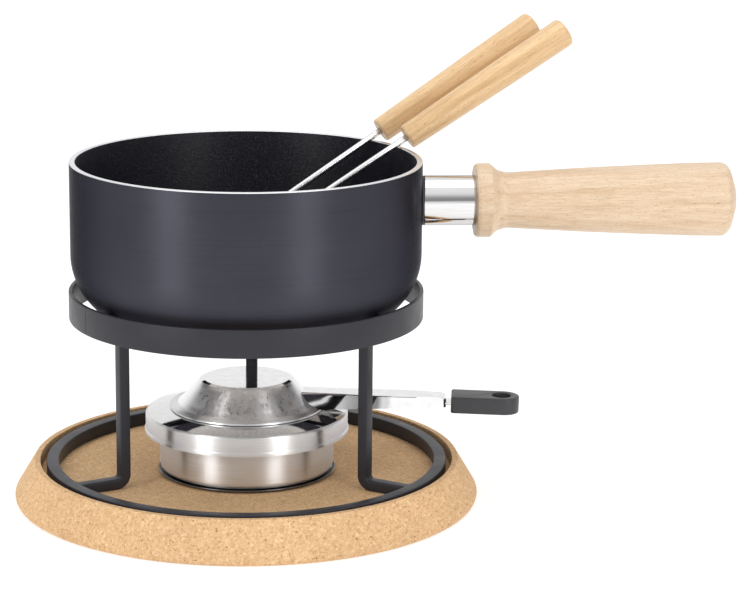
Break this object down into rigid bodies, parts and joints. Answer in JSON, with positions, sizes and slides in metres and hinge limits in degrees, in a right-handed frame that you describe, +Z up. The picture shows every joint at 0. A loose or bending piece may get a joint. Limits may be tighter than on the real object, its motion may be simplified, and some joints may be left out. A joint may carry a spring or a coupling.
{
  "type": "fondue pot set",
  "caption": "Coated fondue pot with a turned beech handle and forks, on a welded flat-bar stand over a lidded paste burner, all carried by a round cork base.",
  "frame": {"origin": "centre of the cork base's underside, on the table", "axes": "+X from the pot's middle along its handle, +Z up, +Y completes the right-handed frame"},
  "size_m": [0.4158, 0.2692, 0.2692],
  "materials": {
    "cork": "pressed cork granulate, dull, fine mixed tones",
    "stand_black": "charcoal satin powder coat on steel bar",
    "pot_coating": "black satin non-stick coat on aluminium, with a bright turned rim",
    "plate_steel": "plain steel, lightly brushed",
    "polished_steel": "polished stainless steel",
    "burner_steel": "stainless sheet with fine turning lines",
    "bare_aluminium": "plain aluminium",
    "insert_brass": "plain brass",
    "handle_beech": "turned beech, fine flecks, thin satin lacquer",
    "fork_beech": "turned beech, slightly more golden, thin satin lacquer",
    "black_plastic": "moulded heat-resisting plastic, satin"
  },
  "bodies": {
    "base": {"cork_base": "cork"},
    "stand": {"top_ring": "stand_black", "base_ring": "stand_black", "leg_back": "stand_black", "leg_left": "stand_black", "leg_right": "stand_black"},
    "pot": {"pot_bowl": "pot_coating", "induction_plate": "plate_steel", "handle_bracket": "bare_aluminium", "handle_washer": "black_plastic", "handle_ferrule": "polished_steel", "handle_stud": "plate_steel", "handle_insert": "insert_brass", "handle_grip": "handle_beech"},
    "fork_1": {"fork_1_shaft": "polished_steel", "fork_1_handle": "fork_beech"},
    "fork_2": {"fork_2_shaft": "polished_steel", "fork_2_handle": "fork_beech"},
    "tray": {"burner_tray": "polished_steel"},
    "burner": {"burner_cup": "burner_steel", "fuel_insert": "bare_aluminium"},
    "cover": {"burner_cover": "burner_steel"},
    "lid": {"snuffer_lid": "burner_steel", "lid_handle": "burner_steel", "lid_grip": "black_plastic"}
  },
  "joints": [
    {"name": "stand_lift", "type": "slide", "parent": "base", "child": "stand", "axis": [0, 0, 1], "range_m": [0, 0.03]},
    {"name": "pot_lift", "type": "slide", "parent": "stand", "child": "pot", "axis": [0, 0, 1], "range_m": [0, 0.12]},
    {"name": "fork_1_draw", "type": "slide", "parent": "pot", "child": "fork_1", "axis": [0.8325, 0.1618, 0.5299], "range_m": [0, 0.12]},
    {"name": "fork_2_draw", "type": "slide", "parent": "pot", "child": "fork_2", "axis": [0.821, 0.2123, 0.5299], "range_m": [0, 0.12]},
    {"name": "burner_turn", "type": "hinge", "parent": "base", "child": "tray", "pos_m": [0, 0, 0.015], "axis": [0, 0, 1], "range_deg": [-15, 80]},
    {"name": "burner_lift", "type": "slide", "parent": "tray", "child": "burner", "axis": [0, 0, 1], "range_m": [0, 0.008]},
    {"name": "cover_lift", "type": "slide", "parent": "burner", "child": "cover", "axis": [0, 0, 1], "range_m": [0, 0.01]},
    {"name": "lid_lift", "type": "slide", "parent": "cover", "child": "lid", "axis": [0, 0, 1], "range_m": [0, 0.012]}
  ]
}
